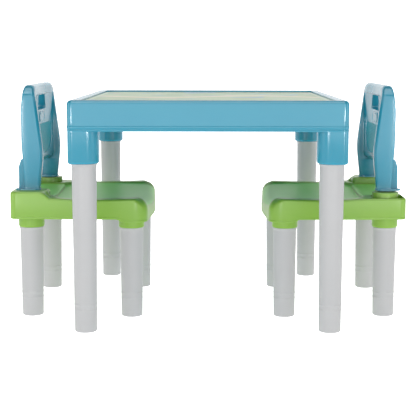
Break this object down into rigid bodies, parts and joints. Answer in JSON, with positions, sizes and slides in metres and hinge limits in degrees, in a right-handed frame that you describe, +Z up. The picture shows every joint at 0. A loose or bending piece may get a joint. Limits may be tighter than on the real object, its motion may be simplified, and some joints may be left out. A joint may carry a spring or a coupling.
{
  "type": "kids table and chairs",
  "caption": "Low moulded-plastic activity table with a printed top and matching chairs whose backrests and legs push into sockets; each chair slides out from its side of the table.",
  "frame": {"origin": "on the floor under the middle of the table top, which is also the middle of the whole set's footprint", "axes": "+X along the line of the two chairs, from the left chair to the right one; +Y across the table, away from its front; +Z up"},
  "size_m": [0.753, 0.6, 0.442],
  "materials": {
    "blue_plastic": "glossy moulded polypropylene, soft blue",
    "green_plastic": "glossy moulded polypropylene, leaf green",
    "grey_plastic": "satin moulded plastic, pale grey",
    "printed_sheet": null
  },
  "bodies": {
    "table": {"table_top": "blue_plastic", "table_print_panel": "printed_sheet", "table_leg_front_left": "grey_plastic", "table_leg_front_right": "grey_plastic", "table_leg_rear_left": "grey_plastic", "table_leg_rear_right": "grey_plastic"},
    "left_chair": {"left_chair_seat": "green_plastic", "left_chair_backrest": "blue_plastic", "left_chair_badge": "blue_plastic", "left_chair_leg_front_left": "grey_plastic", "left_chair_leg_front_right": "grey_plastic", "left_chair_leg_rear_left": "grey_plastic", "left_chair_leg_rear_right": "grey_plastic"},
    "right_chair": {"right_chair_seat": "green_plastic", "right_chair_backrest": "blue_plastic", "right_chair_badge": "blue_plastic", "right_chair_leg_front_left": "grey_plastic", "right_chair_leg_front_right": "grey_plastic", "right_chair_leg_rear_left": "grey_plastic", "right_chair_leg_rear_right": "grey_plastic"}
  },
  "joints": [
    {"name": "left_chair_slide", "type": "slide", "parent": "table", "child": "left_chair", "axis": [-1, 0, 0], "range_m": [-0.05, 0.35]},
    {"name": "right_chair_slide", "type": "slide", "parent": "table", "child": "right_chair", "axis": [1, 0, 0], "range_m": [-0.05, 0.35]}
  ]
}
